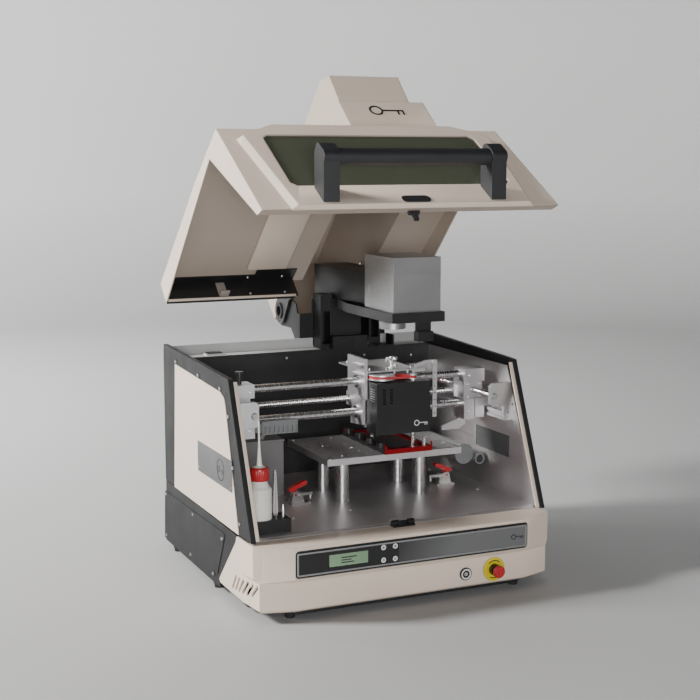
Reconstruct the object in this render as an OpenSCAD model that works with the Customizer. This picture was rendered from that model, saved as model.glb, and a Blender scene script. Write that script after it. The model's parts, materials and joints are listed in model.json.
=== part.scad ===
// Desktop key duplicating machine: a hooded cabinet with a milling carriage on
// an X/Y gantry, a work table and a scanning head under a tilting hood.
// Millimetres, +Z up. X runs across the machine, Y runs from front to back.

/* [Cabinet] */
// Half of the width over the side plates
half_w = 400; // [395:1:405]
// Height of the control face zero line above the standing surface
foot_z = 62; // [58:1:70]
// Back of the rear casing
rear_y = 745; // [743:1:748]
// Top of the chamber floor
floor_z = 124; // [123:1:125]
// Thickness of sheet metal
sheet = 3; // [2:0.5:3]

/* [Fascia] */
// Top of the front fascia
fascia_top = 121; // [120:1:121]
// Height where the upper band of the fascia ends
band_z = 44; // [43:1:45]
// Underside of the front fascia
fascia_bottom = -38; // [-40:1:-36]
// Wall thickness of the front fascia
fascia_wall = 6; // [5:0.5:7]

/* [Hood] */
// Half width of the hood
hood_half_w = 385; // [380:1:385]
// Wall thickness of the hood
hood_wall = 3.5; // [3:0.5:4]
// Angle of the hood above its closed place
hood_angle = 46.6; // [40:0.1:47]
// Hinge axis, distance behind the control face
hinge_y = 878; // [876:1:880]
// Hinge axis height
hinge_z = 566; // [565:1:567]
// Diameter of the grab handle bar
grab_d = 40; // [34:1:42]

/* [Gantry] */
// Diameter of the two cross shafts
shaft_d = 20; // [18:1:20]
// Diameter of the lead screws
screw_d = 16; // [14:1:16]
// Centre line of the cross shafts, distance behind the control face
shaft_y = 330; // [329:1:331]
// Height of the upper cross shaft
shaft_top_z = 440; // [439:1:441]
// Height of the lower cross shaft
shaft_low_z = 360; // [359:1:361]
// Running clearance between a shaft and its bore, on the radius
fit = 0.05; // [0.03:0.01:0.08]

/* [Spindle head] */
// Diameter of the motor pulley
pulley_d = 70; // [66:1:72]
// Diameter of the spindle pulley
small_pulley_d = 20; // [18:1:22]
// Height of the pulley centre line
belt_z = 456; // [456:0.5:457]

/* [Column and scanning head] */
// Centre line of the column, across the machine
column_x = 140; // [138:1:142]
// Top of the arm box
arm_top = 706; // [700:1:710]
// Top of the scanning head
head_top = 759; // [750:1:765]

/* [Table] */
// Top of the work table
table_top = 245; // [243:1:247]
// Diameter of the table posts
post_d = 36; // [32:1:38]

/* [Hidden] */
$fn = 64;
over = 1;                       // how far a cut runs past the face that it opens
gap = 0.5;                      // clearance of a part that moves past another

// The depth of the whole machine runs from the mushroom button to the open hood.
mushroom_front = -24;
bulge_back = 1008;
bulge_top = 862;
hood_rear_reach = hinge_y + cos(hood_angle) * (bulge_back - hinge_y)
    + sin(hood_angle) * (bulge_top - hinge_z);
frame_y = (mushroom_front + hood_rear_reach) / 2;

// Fascia plan outlines, front to back on the right and back again on the left.
corner_x = 314;
corner_y = 45;
wing_back = 289;
low_corner = [309, 10];
low_shoulder = [388, 34];
low_fade_y = 125;

// Control face
panel_x = [-311, 314];
panel_z = [46, 112];
menu_x = [-86, -55];
menu_z = [64, 95];
menu_r = 6.5;
estop_x = 222;
power_pos = [142, -2];
low_face = low_corner[1];

// Side frame and side panel outlines, as distance back and height
frame_tip = [57, 125];
frame_knee = [207, 489];
frame_top = [742, 507];
frame_outline = [frame_tip, [frame_knee[0] - 6, frame_knee[1] - 15], frame_knee,
    [frame_knee[0] + 16, frame_knee[1] + 1.5], frame_top, [745, 469], [745, 127]];
panel_outline = [[140, 126], [225, 424], [235, 440], [262, 451], [632, 467], [656, 126]];
liner_outline = [[84, floor_z], [237, 469], [684, 469], [684, floor_z]];

// Hood outlines, drawn with the hood closed
hood_lip = [36, 158];
hood_brow = [116, 509];
hood_ridge = [322, 541];
hood_back = [756, 582];
hood_notch = [203, 496];
hood_outline = [hood_lip, hood_brow, hood_ridge, hood_back, [756, 512], hood_notch, [66, 172]];
face_angle = atan2(hood_brow[1] - hood_lip[1], hood_brow[0] - hood_lip[0]);
face_len = norm(hood_brow - hood_lip);
face_rise = 13;                 // how far the middle of the hood face stands proud
notch_x = [-5, 285];            // rear wall opening of the hood

// Screw and shaft places
y_screw_x = 333;
y_screw_z = 395;
x_screw_y = 385;
x_screw_z = 386;
motor_x = 42;
motor_y = 282;
spindle_x = 116;
spindle_y = 249;
rod_x = [92, 130];
rod_y = 309;

// ---------------------------------------------------------------- shared shapes

module place() { translate([0, -frame_y, foot_z]) children(); }

// A box between two values on each axis
module block(x, y, z) {
    translate([x[0], y[0], z[0]]) cube([x[1] - x[0], y[1] - y[0], z[1] - z[0]]);
}

// A side outline [y, z] carried across from x0 to x1
module side(points, x0, x1) {
    translate([x0, 0, 0]) rotate([90, 0, 90]) linear_extrude(x1 - x0) polygon(points);
}

// A front outline [x, z] carried back from y0 to y1
module front(points, y0, y1) {
    translate([0, y1, 0]) rotate([90, 0, 0]) linear_extrude(y1 - y0) polygon(points);
}

// A plan outline [x, y] carried up from z0 to z1
module plan(points, z0, z1) {
    translate([0, 0, z0]) linear_extrude(z1 - z0) polygon(points);
}

module x_cyl(x, y, z, r) {
    translate([x[0], y, z]) rotate([0, 90, 0]) cylinder(h = x[1] - x[0], r = r);
}

module y_cyl(x, y, z, r) {
    translate([x, y[0], z]) rotate([-90, 0, 0]) cylinder(h = y[1] - y[0], r = r);
}

module z_cyl(x, y, z, r) {
    translate([x, y, z[0]]) cylinder(h = z[1] - z[0], r = r);
}

// Both sides of the machine
module both() {
    children();
    mirror([1, 0, 0]) children();
}

// Points of an arc about [cy, cz]
function arc(c, r, a0, a1, n) =
    [for (i = [0 : n]) let (a = a0 + (a1 - a0) * i / n) [c[0] + r * cos(a), c[1] + r * sin(a)]];

// A rounded rectangle outline between two values on each axis
function round_rect(x, y, r) = concat(
    arc([x[1] - r, y[1] - r], r, 0, 90, 6), arc([x[0] + r, y[1] - r], r, 90, 180, 6),
    arc([x[0] + r, y[0] + r], r, 180, 270, 6), arc([x[1] - r, y[0] + r], r, 270, 360, 6));

// A rectangle outline with cut corners
function cut_rect(x, y, c) = [[x[0] + c, y[0]], [x[1] - c, y[0]], [x[1], y[0] + c],
    [x[1], y[1] - c], [x[1] - c, y[1]], [x[0] + c, y[1]], [x[0], y[1] - c], [x[0], y[0] + c]];

// Turns the hood from its closed place to its open place
module hood_open() {
    translate([0, hinge_y, hinge_z]) rotate([-hood_angle, 0, 0])
        translate([0, -hinge_y, -hinge_z]) children();
}

// Local frame of the hood face: x across, y up the face, z out of it
module on_face() {
    translate([0, hood_lip[0], hood_lip[1]]) rotate([face_angle, 0, 0]) children();
}

// ---------------------------------------------------------------- cabinet

tray_outline = [[-386, 757], [-386, 120], [-300, 24], [300, 24], [386, 120], [386, 757]];
tray_inner = [[-382, 749], [-382, 122], [-298, 28], [298, 28], [382, 122], [382, 749]];

module base_chassis() {
    color("dimgray") {
        difference() {
            plan(tray_outline, -48, fascia_bottom);
            plan(tray_inner, -44, fascia_bottom + over);
            for (x = [-240 : 40 : 240], y = [200, 560]) {
                plan(round_rect([x - 5, x + 5], [y, y + 90], 5), -48 - over, -44 + over);
            }
        }
        both() block([380, 386], [150, 749], [fascia_bottom, floor_z - sheet]);
        difference() {
            block([-386, 386], [749, 755], [fascia_bottom, floor_z + 3]);
            block([228, 282], [749 - over, 755 + over], [-20, 16]);
            for (x = [-260 : 14 : -120]) {
                front(round_rect([x, x + 5], [0, 70], 2.4), 749 - over, 755 + over);
            }
        }
        for (y = [250, 500]) {
            block([-380, 380], [y, y + 4], [-44, -20]);
        }
    }
}

module rubber_feet() {
    color("#141414") for (p = [[384, 338], [384, 682], [305, 54]]) both() {
        z_cyl(p[0], p[1], [-foot_z, -52], 12);
        z_cyl(p[0], p[1], [-52, -48], 14);
    }
}

function upper_plan(d) = [[-half_w + d, wing_back], [-half_w + d, corner_y + d / 2],
    [-corner_x + d / 4, d], [corner_x - d / 4, d], [half_w - d, corner_y + d / 2],
    [half_w - d, wing_back]];
function lower_plan(d) = [[-half_w + d, wing_back], [-half_w + d, low_fade_y + d / 2],
    [-low_shoulder[0] + d, low_shoulder[1] + d / 2], [-low_corner[0] + d / 4, low_corner[1] + d],
    [low_corner[0] - d / 4, low_corner[1] + d], [low_shoulder[0] - d, low_shoulder[1] + d / 2],
    [half_w - d, low_fade_y + d / 2], [half_w - d, wing_back]];
wing_outline = [[-over, fascia_top], [58, fascia_top], [157, 118], [163, 103], [wing_back, -24],
    [wing_back - 14, fascia_bottom], [-over, fascia_bottom]];

module front_fascia() {
    color("#d8cec4") difference() {
        intersection() {
            union() {
                plan(upper_plan(0), band_z, fascia_top);
                hull() {
                    plan(lower_plan(0), band_z - 9, band_z - 8.9);
                    plan(upper_plan(0), band_z - 0.1, band_z);
                }
                plan(lower_plan(0), fascia_bottom + 6, band_z - 9);
                hull() {
                    plan(lower_plan(0), fascia_bottom + 6, fascia_bottom + 6.1);
                    plan(lower_plan(6), fascia_bottom, fascia_bottom + 0.1);
                }
            }
            side(wing_outline, -half_w, half_w);
        }
        plan(lower_plan(fascia_wall), fascia_bottom - over, fascia_top - 4);
        block([-half_w + fascia_wall, half_w - fascia_wall], [84, wing_back + over],
            [fascia_bottom - over, fascia_top + over]);
        front(round_rect([panel_x[0] - 0.2, panel_x[1] + 0.2], [panel_z[0] - 0.2, panel_z[1] + 0.2], 9),
            -over, 30);
        y_cyl(power_pos[0], [-over, 30], power_pos[1], 13);
        y_cyl(estop_x, [-over, 30], 0, 13);
        both() for (i = [0 : 5]) vent_slot(i);
    }
}

// Slanted cooling slots, stepping forward along the lower wing
module vent_slot(i) {
    foot = [191 - 23.4 * i, -20 + 2.8 * i];
    head = [160 - 23.6 * i, 21 + i];
    lean = atan2(head[1] - foot[1], head[0] - foot[0]);
    translate([half_w - 40, foot[0], foot[1]]) rotate([90, 0, 90]) rotate([0, 0, lean])
        linear_extrude(60) polygon(round_rect([0, norm(head - foot)], [-4, 4], 3.9));
}

module control_panel() {
    color("#2a2b2c") difference() {
        union() {
            front(round_rect(panel_x, panel_z, 9), 4, 9);
            front(round_rect([panel_x[0] + 4, panel_x[1] - 3], [50, 106], 3), 1.5, 4);
            block([-232, -40], [9, 14], [56, 102]);
        }
        for (x = menu_x, z = menu_z) y_cyl(x, [-over, 15], z, menu_r + 0.3);
        front(round_rect([-226, -125], [63, 93], 2), 1, 3.2);
    }
}

module menu_button(x, z) {
    color("#26282a") {
        y_cyl(x, [0.4, 15], z, menu_r);
        y_cyl(x, [15, 17], z, menu_r + 2);
    }
}

module power_button() {
    color("#1c1c1c") {
        y_cyl(power_pos[0], [5.5, 26], power_pos[1], 8.5);
        y_cyl(power_pos[0], [26, 28], power_pos[1], 11);
    }
}

module estop_button() {
    color("#b0202a") {
        y_cyl(estop_x, [mushroom_front + 3, -13], 0, 15.5);
        y_cyl(estop_x, [mushroom_front, mushroom_front + 3], 0, 13.5);
        y_cyl(estop_x, [-13, 26], 0, 8);
        y_cyl(estop_x, [26, 28], 0, 11);
    }
}

module button_bezels() {
    color("#202020") {
        difference() {
            union() {
                y_cyl(power_pos[0], [5, low_face], power_pos[1], 16);
                y_cyl(power_pos[0], [low_face, 22], power_pos[1], 12.9);
            }
            y_cyl(power_pos[0], [0, 23], power_pos[1], 8.8);
        }
        difference() {
            union() {
                y_cyl(estop_x, [8, low_face], 0, 30);
                y_cyl(estop_x, [-5, 8], 0, 14);
                y_cyl(estop_x, [low_face, 22], 0, 12.9);
            }
            y_cyl(estop_x, [-6, 23], 0, 8.3);
        }
    }
}

module side_frames() {
    color("#464748") both() difference() {
        side(frame_outline, half_w - 14, half_w - 1);
        side(frame_inner, half_w - 20, half_w - 5);
        side([for (p = panel_outline) [386 + (p[0] - 386) * 0.94, 300 + (p[1] - 300) * 0.92]],
            half_w - 8, half_w + over);
    }
}
// Inside of the folded edge of a side frame
frame_inner = [[80, 122], [228, 484], [738, 502], [741, 469], [741, 122]];

module side_panels() {
    color("#d8cec4") both() side(panel_outline, half_w - 1, half_w + 1);
}

cover_outline = [[158, 118], [745, 125], [755, -48], [290, -48], [290, -23], [167, 100]];
cover_raised = [[243, 99], [270, 101], [753, 93], [762, -43], [304, -16]];

module lower_side_covers() {
    color("#3c3d3e") both() {
        difference() {
            side(cover_outline, half_w - 8, half_w - 2);
            side([[wing_back, fascia_bottom - 3], [wing_back - 60, 40], [wing_back - 200, 40],
                [wing_back - 200, -60]], half_w - 9, half_w);
        }
        side(cover_raised, half_w - 2, half_w);
        side([[290, -47], [754, -47], [750, 120], [300, 115]], 386, half_w - 8);
    }
}

module chamber_liner() {
    color("#a7a7aa") {
        difference() {
            both() side(liner_outline, 388, 391);
            block([380, 400], [220, 400], [224, 282]);
        }
        block([-391, 391], [96, 684], [floor_z - sheet, floor_z]);
        side([[85, 118], [85, 121], [97, floor_z], [112, floor_z], [112, floor_z - sheet], [97, 119]],
            -384, 384);
    }
}

module back_wall() {
    color("#1e1f20") difference() {
        block([-391, 391], [684, 688], [floor_z - sheet, 473]);
        for (s = [-1, 1]) y_cyl(s * y_screw_x, [680, 690], y_screw_z, 20);
    }
}

module rear_casing() {
    color("#8a8b8d") {
        difference() {
            block([-385, 385], [742, rear_y], [127, 500]);
            block([column_x - 96, column_x + 96], [742 - over, rear_y + over], [473, 500 + over]);
            for (x = [-300 : 12 : -204], z = [200, 250]) {
                front(round_rect([x, x + 5], [z, z + 36], 2.4), 742 - over, rear_y + over);
            }
        }
        block([-385, 385], [688, 742], [470, 473]);
        block([-289, -239], [700, 730], [473, 477]);
    }
}

module casing_screw(x, y, z) { x_cyl([x, half_w + 2.5], y, z, 4.5); }

module casing_screws() {
    color("silver") both() {
        for (p = [[262, 459], [433, 467], [625, 475], [204, 400], [175, 281], [131, 155]]) {
            casing_screw(half_w - 1, p[0], p[1]);
        }
        for (p = [[262, 85], [495, 89], [736, 88], [334, -24], [520, -26], [740, -30]]) {
            casing_screw(half_w, p[0], p[1]);
        }
    }
}

module latch_striker() {
    color("#1c1c1c") {
        block([-30, 29], [60, 80], [fascia_top, fascia_top + 4]);
        for (x = [[-30, -13], [13, 29]]) x_cyl(x, 71, 129.5, 7.5);
        x_cyl([-13, 13], 72, 130, 4);
    }
}

// ---------------------------------------------------------------- chamber furniture

table_x = [-100, 290];
table_y = [303, 580];

module table_plate() {
    color("#9a9a9c") difference() {
        block(table_x, table_y, [228, table_top]);
        for (x = [-80 : 50 : 270], y = [325 : 46 : 560]) z_cyl(x, y, [235, table_top + over], 2.5);
    }
}

module table_posts() {
    color("silver") for (x = [-45, 180], y = [336, 466]) z_cyl(x, y, [floor_z, 228], post_d / 2);
}

module key_fixture() {
    color("#b0202a") {
        difference() {
            block([61, 200], [298, 570], [table_top, 258]);
            block([75, 186], [320, 548], [252, 260]);
        }
        for (y = [298, 566], x = [61, 196]) block([x, x + 4], [y, y + 4], [258, 270]);
    }
    color("#2b2b2b") for (y = [502, 433, 363, 300]) {
        block([40, 70], [y, y + 14], [258, 264]);
        z_cyl(52, y + 7, [264, 278], 11);
    }
    color("silver") for (p = [[171, 354], [186, 319], [120, 500]]) z_cyl(p[0], p[1], [252, 278], 5);
}

clamp_pivot = [2, 22];
handle_pivot = [-10, 24];
clamp_left = [-156, 369];
clamp_right = [286, 404];

module clamp_at_left() { translate([clamp_left[0], clamp_left[1], floor_z]) children(); }
module clamp_at_right() {
    translate([clamp_right[0], clamp_right[1], floor_z]) mirror([1, 0, 0]) children();
}

module clamp_base() {
    difference() {
        union() {
            block([-26, 26], [-25, 25], [0, 5]);
            for (s = [-1, 1]) translate([0, s * 9.5 - 1.5, 0]) {
                front([[-22, 5], [14, 5], [10, 28], [-16, 32]], 0, 3);
            }
        }
        for (p = [clamp_pivot, handle_pivot]) y_cyl(p[0], [-20, 20], p[1], 2.5 + fit);
        for (x = [-20, 20], y = [-19, 19]) z_cyl(x, y, [-over, 6], 2.5);
    }
}

module clamp_bases() {
    color("#c9c9cb") {
        clamp_at_left() clamp_base();
        clamp_at_right() clamp_base();
    }
}

module clamp_arm() {
    y_cyl(clamp_pivot[0], [-13, 13], clamp_pivot[1], 2.5);
    y_cyl(clamp_pivot[0], [-5, 5], clamp_pivot[1], 5);
    block([clamp_pivot[0], 40], [-5, 5], [clamp_pivot[1] - 3, clamp_pivot[1] + 4]);
    z_cyl(35, 0, [8, clamp_pivot[1]], 4);
}

module clamp_handle() {
    y_cyl(handle_pivot[0], [-13, 13], handle_pivot[1], 2.5);
    y_cyl(handle_pivot[0], [-5, 5], handle_pivot[1], 5);
    block([handle_pivot[0] - 4, handle_pivot[0] + 4], [-4, 4], [handle_pivot[1], 40]);
    front([[-27, 36], [-25, 32], [-21, 31], [19, 47], [24, 52], [23, 57], [17, 58], [-23, 42]], -7, 7);
}

module clamp_arm_left() { color("silver") clamp_at_left() clamp_arm(); }
module clamp_arm_right() { color("silver") clamp_at_right() clamp_arm(); }
module clamp_handle_left() { color("#b0202a") clamp_at_left() clamp_handle(); }
module clamp_handle_right() { color("#b0202a") clamp_at_right() clamp_handle(); }

module suction_nozzle() {
    color("#8f9092") {
        y_cyl(327, [372, 684], 213, 24);
        y_cyl(327, [352, 372], 213, 28);
        difference() {
            y_cyl(366, [340, 684], 199, 13.5);
            y_cyl(366, [330, 500], 199, 11);
        }
    }
}

module enclosure_box() {
    color("#55585a") {
        difference() {
            block([-265, -160], [457, 560], [floor_z, 270]);
            block([-261, -164], [461, 556], [floor_z + 4, 270 + over]);
        }
        block([-267, -158], [455, 562], [270, 276]);
        z_cyl(-212, 480, [276, 282], 6);
        z_cyl(-212, 480, [282, 290], 9);
    }
}

bottle_pos = [-341, 155];

module tool_rack() {
    color("#1c1c1c") difference() {
        block([-374, -274], [121, 189], [floor_z, 157]);
        z_cyl(bottle_pos[0], bottle_pos[1], [152, 158], 29.8);
        block([-306.5, -299.5], [144, 156], [135, 158]);
        z_cyl(-283, 150, [135, 158], 4);
        z_cyl(-283, 172, [135, 158], 5);
        z_cyl(-299, 175, [135, 158], 4);
    }
}

module bottle() {
    color("white") translate([bottle_pos[0], bottle_pos[1], 0]) rotate_extrude() polygon(concat(
        [[0, 152.3], [27.5, 152.3], [29.4, 156], [29.4, 226]], arc([19.4, 226], 10, 0, 60, 5),
        [[17, 250], [17, 256], [21, 256], [21, 278], [17, 282], [7, 286], [5.5, 300], [3, 330],
        [1.6, 394], [0, 394]]));
}

module tweezers() {
    color("silver") {
        front([[-305.5, 140], [-304, 136], [-303.4, 150], [-303, 180], [-302.6, 268], [-300.5, 274],
            [-305.5, 274], [-309.5, 175], [-308, 161], [-305.5, 159]], 147, 153);
        front([[-300.5, 140], [-302, 136], [-302.6, 150], [-302.4, 268], [-300.5, 268],
            [-296.5, 175], [-298, 161], [-300.5, 159]], 147, 153);
    }
}

// ---------------------------------------------------------------- drives

module y_guides() {
    color("#bdbdbf") both() {
        difference() {
            block([363, 388], [209, 684], [328, 351]);
            block([361, 366], [208, 685], [336, 343]);
            block([372, 379], [208, 685], [346, 352]);
        }
        difference() {
            front(cut_rect([321, 388], [366, 429], 8), 206, 218);
            y_cyl(y_screw_x, [200, 220], y_screw_z, screw_d / 2 + fit);
        }
        block([363, 388], [206, 218], [351, 368]);
        difference() {
            block([315, 388], [664, 684], [372, 418]);
            y_cyl(y_screw_x, [660, 690], y_screw_z, screw_d / 2 + fit);
        }
    }
}

module drive_motors() {
    color("#242526") both() difference() {
        union() {
            front(cut_rect([y_screw_x - 28, y_screw_x + 28], [y_screw_z - 28, y_screw_z + 28], 5),
                696, 740);
            y_cyl(y_screw_x, [688, 696], y_screw_z, 19);
        }
        y_cyl(y_screw_x, [680, 712], y_screw_z, screw_d / 2 + 1);
    }
}

module y_screw(s) {
    color("#c8c8ca") {
        y_cyl(s * y_screw_x, [206, 700], y_screw_z, screw_d / 2);
        y_cyl(s * y_screw_x, [202, 205.5], y_screw_z, screw_d / 2 + 3);
        y_cyl(s * y_screw_x, [205.5, 206], y_screw_z, screw_d / 2);
    }
}

module y_screw_left() { y_screw(-1); }
module y_screw_right() { y_screw(1); }

module power_supply() {
    color("#77797b") difference() {
        block([-150, -20], [560, 740], [-44, 40]);
        for (x = [-140 : 12 : -30]) block([x, x + 5], [570, 720], [36, 41]);
    }
    color("#1a1a1a") difference() {
        block([230, 280], [720, 757], [-18, 14]);
        block([236, 274], [735, 758], [-12, 8]);
    }
}

module gantry_end() {
    difference() {
        union() {
            block([297, 357], [302, 360], [421, 455]);
            block([303, 357], [317, 374], [374, 421]);
            block([297, 328], [302, 360], [319, 374]);
            block([330, 358], [302, 385], [322, 374]);
            block([328, 330], [317, 360], [322, 374]);
            block([357, 386], [305, 385], [351.5, 374]);
            block([297, 325], [360, 402], [368, 404]);
        }
        y_cyl(y_screw_x, [290, 420], y_screw_z, screw_d / 2 + fit);
        x_cyl([290, 330], shaft_y, shaft_top_z, shaft_d / 2 + fit);
        x_cyl([290, 326], shaft_y, shaft_low_z, shaft_d / 2 + fit);
        x_cyl([290, 330], x_screw_y, x_screw_z, screw_d / 2 + fit);
        for (x = [-17, 17], z = [-17, 17]) y_cyl(y_screw_x + x, [316, 322], y_screw_z + z - 1, 3);
        y_cyl(311, [300, 310], 437, 4);
        y_cyl(312, [300, 310], 340, 4);
    }
}

module gantry_ends() {
    color("#c4c4c6") {
        both() gantry_end();
        front([[248, 288], [300, 288], [319, 300], [319, 319], [297, 319], [297, 316], [248, 300]],
            336, 344);
        z_cyl(-327, shaft_y, [455, 478], 6);
        z_cyl(-327, shaft_y, [478, 486], 11);
    }
}

module x_shafts() {
    color("#dcdcde") {
        x_cyl([-322, 322], shaft_y, shaft_top_z, shaft_d / 2);
        x_cyl([-322, 322], shaft_y, shaft_low_z, shaft_d / 2);
    }
}

module x_screw() {
    color("#b8b8ba") {
        x_cyl([-322, 322], x_screw_y, x_screw_z, screw_d / 2);
    }
}

chain_pitch = 12;

module cable_chain() {
    color("#202122") {
        for (x = [-284 : chain_pitch : -200]) {
            difference() {
                block([x, x + chain_pitch], [286, 301], [329, 363]);
                block([x + 3, x + chain_pitch - 2], [285, 290], [333, 350]);
            }
        }
        block([-297, -284], [290, 301], [335, 358]);
    }
}

module carriage_frame() {
    color("#c0c0c2") {
        difference() {
            union() {
                side([[300, 330], [374, 322], [374, 368], [402, 368], [402, 404], [393, 404],
                    [393, 502], [287, 502], [287, 397], [300, 397]], -3, 5);
                side([[300, 330], [374, 322], [374, 368], [402, 368], [402, 404], [393, 404],
                    [393, 466], [300, 466]], 139, 147);
                block([5, 147], [285, 470], [466, 470]);
                block([5, 139], [303, 317], [322, 330]);
                block([5, 139], [396, 402], [372, 402]);
                block([55, 85], [370, 396], [370, 402]);
            }
            for (x = [[-10, 10], [130, 150]]) {
                x_cyl(x, shaft_y, shaft_top_z, 14);
                x_cyl(x, shaft_y, shaft_low_z, 14);
                x_cyl(x, x_screw_y, x_screw_z, screw_d / 2 + 2);
            }
            x_cyl([50, 90], x_screw_y, x_screw_z, screw_d / 2 + fit);
            z_cyl(86, 312, [460, 480], 5 + fit);
        }
        for (x = rod_x) z_cyl(x, rod_y, [330, 466], 5);
        block([-15, -3], [297, 345], [460, 464]);
        side([[293, 487], [297, 480], [345, 480], [345, 487]], -12, -3);
    }
    color("#b5b5b7") {
        front([[147, 470], [178, 480], [209, 480], [209, 487], [176, 487], [147, 478]], 296, 303);
        difference() {
            block([197, 209], [293, 296], [336, 487]);
            for (z = [346 : 18 : 472]) y_cyl(203, [292, 297], z, 2.2);
        }
        block([147, 178], [300, 304], [458, 466]);
    }
}

module shaft_bearings() {
    color("#d5d5d7") for (z = [shaft_top_z, shaft_low_z]) {
        for (x = [[-3, 5], [139, 147]]) {
            difference() {
                union() {
                    x_cyl(x, shaft_y, z, 14);
                    x_cyl(x[0] < 0 ? [-9, -3] : [147, 153], shaft_y, z, 17);
                }
                x_cyl([-20, 160], shaft_y, z, shaft_d / 2 + fit);
            }
        }
    }
}

module lock_knob() {
    color("#d8d8da") translate([86, 312, 0]) {
        cylinder_between(466.5, 492, 5);
        cylinder_between(471, 474, 9);
        for (a = [0 : 72 : 288]) rotate([0, 0, a]) block([0, 15], [-3, 3], [492, 499]);
        cylinder_between(492, 501, 7);
    }
}
module cylinder_between(z0, z1, r) { translate([0, 0, z0]) cylinder(h = z1 - z0, r = r); }

module head_slide() {
    color("#a8a8ab") difference() {
        union() {
            block([20, 137], [301, 317], [352, 446]);
            block([100, 132], [239, 301], [330, 430]);
            block([20, 30], [298, 301], [330, 440]);
        }
        for (x = rod_x) z_cyl(x, rod_y, [340, 450], 5 + fit);
        z_cyl(spindle_x, spindle_y, [320, 440], 6 + fit);
    }
}

cover_x = [7, 160];
cover_y = [235, 298];
cover_z = [312, 445];

module spindle_cover() {
    color("#1b1c1d") difference() {
        block(cover_x, cover_y, cover_z);
        block([cover_x[0] + 2.5, cover_x[1] - 2.5], [cover_y[0] + 2.5, cover_y[1] + over],
            [cover_z[0] - over, cover_z[1] - 2.5]);
        z_cyl(spindle_x, spindle_y, [cover_z[1] - 5, cover_z[1] + over], 8);
        z_cyl(motor_x, motor_y, [cover_z[1] - 5, cover_z[1] + over], 7);
        for (i = [0 : 5]) {
            block([cover_x[0] - over, cover_x[0] + 3], [248, 276], [396 + i * 6, 398.5 + i * 6]);
        }
        for (i = [0 : 5], x = [24, 44]) {
            block([x, x + 9], [cover_y[0] - over, cover_y[0] + 3], [392 + i * 7, 395 + i * 7]);
        }
    }
}

module spindle_motor() {
    color("#303133") difference() {
        union() {
            plan(cut_rect([motor_x - 20, motor_x + 20], [motor_y - 21, motor_y + 16], 4), 344, 440);
            z_cyl(motor_x, motor_y, [440, 442], 6.5);
        }
        z_cyl(motor_x, motor_y, [400, 443], 4 + fit);
    }
}

module motor_pulley() {
    color("#cfcfd1") {
        z_cyl(motor_x, motor_y, [404, belt_z - 7], 4);
        z_cyl(motor_x, motor_y, [belt_z - 7, belt_z - 4], pulley_d / 2);
        z_cyl(motor_x, motor_y, [belt_z - 4, belt_z + 4], pulley_d / 2 - 2.5);
        z_cyl(motor_x, motor_y, [belt_z + 4, belt_z + 7], pulley_d / 2);
    }
}

module spindle_shaft() {
    color("#cfcfd1") {
        z_cyl(spindle_x, spindle_y, [306, belt_z - 7], 6);
        z_cyl(spindle_x, spindle_y, [300, 306], 2);
        z_cyl(spindle_x, spindle_y, [belt_z - 7, belt_z - 4], small_pulley_d / 2);
        z_cyl(spindle_x, spindle_y, [belt_z - 4, belt_z + 4], small_pulley_d / 2 - 2.5);
        z_cyl(spindle_x, spindle_y, [belt_z + 4, belt_z + 7], small_pulley_d / 2);
    }
}

module belt_loop(inner) {
    hull() {
        translate([motor_x, motor_y]) circle(r = pulley_d / 2 - 2.5 + inner);
        translate([spindle_x, spindle_y]) circle(r = small_pulley_d / 2 - 2.5 + inner);
    }
}

module drive_belt() {
    color("#b0202a") translate([0, 0, belt_z - 3]) linear_extrude(6) difference() {
        belt_loop(2);
        belt_loop(0.4);
    }
}

// ---------------------------------------------------------------- column, arm and head

module column_frame() {
    color("#1f2021") {
        for (x = [46, 198]) difference() {
            block([x, x + 36], [690, rear_y], [473, 628]);
            block([x + 6, x + 30], [689, rear_y - 6], [487, 580]);
        }
        block([80, 200], [692, rear_y - 2], [590, 618]);
        block([203, 254], [640, 687], [478, 482]);
        block([250, 254], [640, 687], [481, 510]);
        block([203, 232], [686, 692], [478, 500]);
    }
    color("#707174") block([73, 169], [684, 694], [513, 616]);
    color("#b4b4b6") difference() {
        block([72, 179], [660, 684], [475, 511]);
        block([94, 141], [659, 664], [480, 500]);
    }
    color("#707174") block([84, 160], [682, 690], [477, 515]);
}

arm_plate = concat([[775, 596], [762, 570], [748, 570], [748, 478], [785, 495], [814, 522]],
    arc([hinge_y, hinge_z], 46, -80, 100, 12), [[820, 612]]);

module hinge_bracket() {
    color("#4b4c4e") {
        block([5, 275], [rear_y, rear_y + 5], [478, 570]);
        block([44, 234], [rear_y, rear_y + 5], [569, 612]);
        for (x = [[5, 9], [271, 275]]) difference() {
            side(arm_plate, x[0], x[1]);
            x_cyl([x[0] - over, x[1] + over], hinge_y, hinge_z, 15);
        }
    }
    color("#c0c0c2") {
        difference() {
            union() {
                x_cyl([-5, 5], hinge_y, hinge_z, 19.45);
                x_cyl([-8, -5], hinge_y, hinge_z, 23);
            }
            x_cyl([-9, 6], hinge_y, hinge_z, 15);
        }
        difference() {
            union() {
                x_cyl([275, 285], hinge_y, hinge_z, 19.45);
                x_cyl([285, 288], hinge_y, hinge_z, 23);
            }
            x_cyl([274, 289], hinge_y, hinge_z, 15);
        }
    }
}

module arm_box() {
    color("#1d1e1f") difference() {
        block([column_x - 52, column_x + 52], [448, 833], [618, arm_top]);
        block([column_x - 49, column_x + 49], [451, 834], [621, arm_top - 3]);
    }
}

lens_pos = [112, 362];

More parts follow.
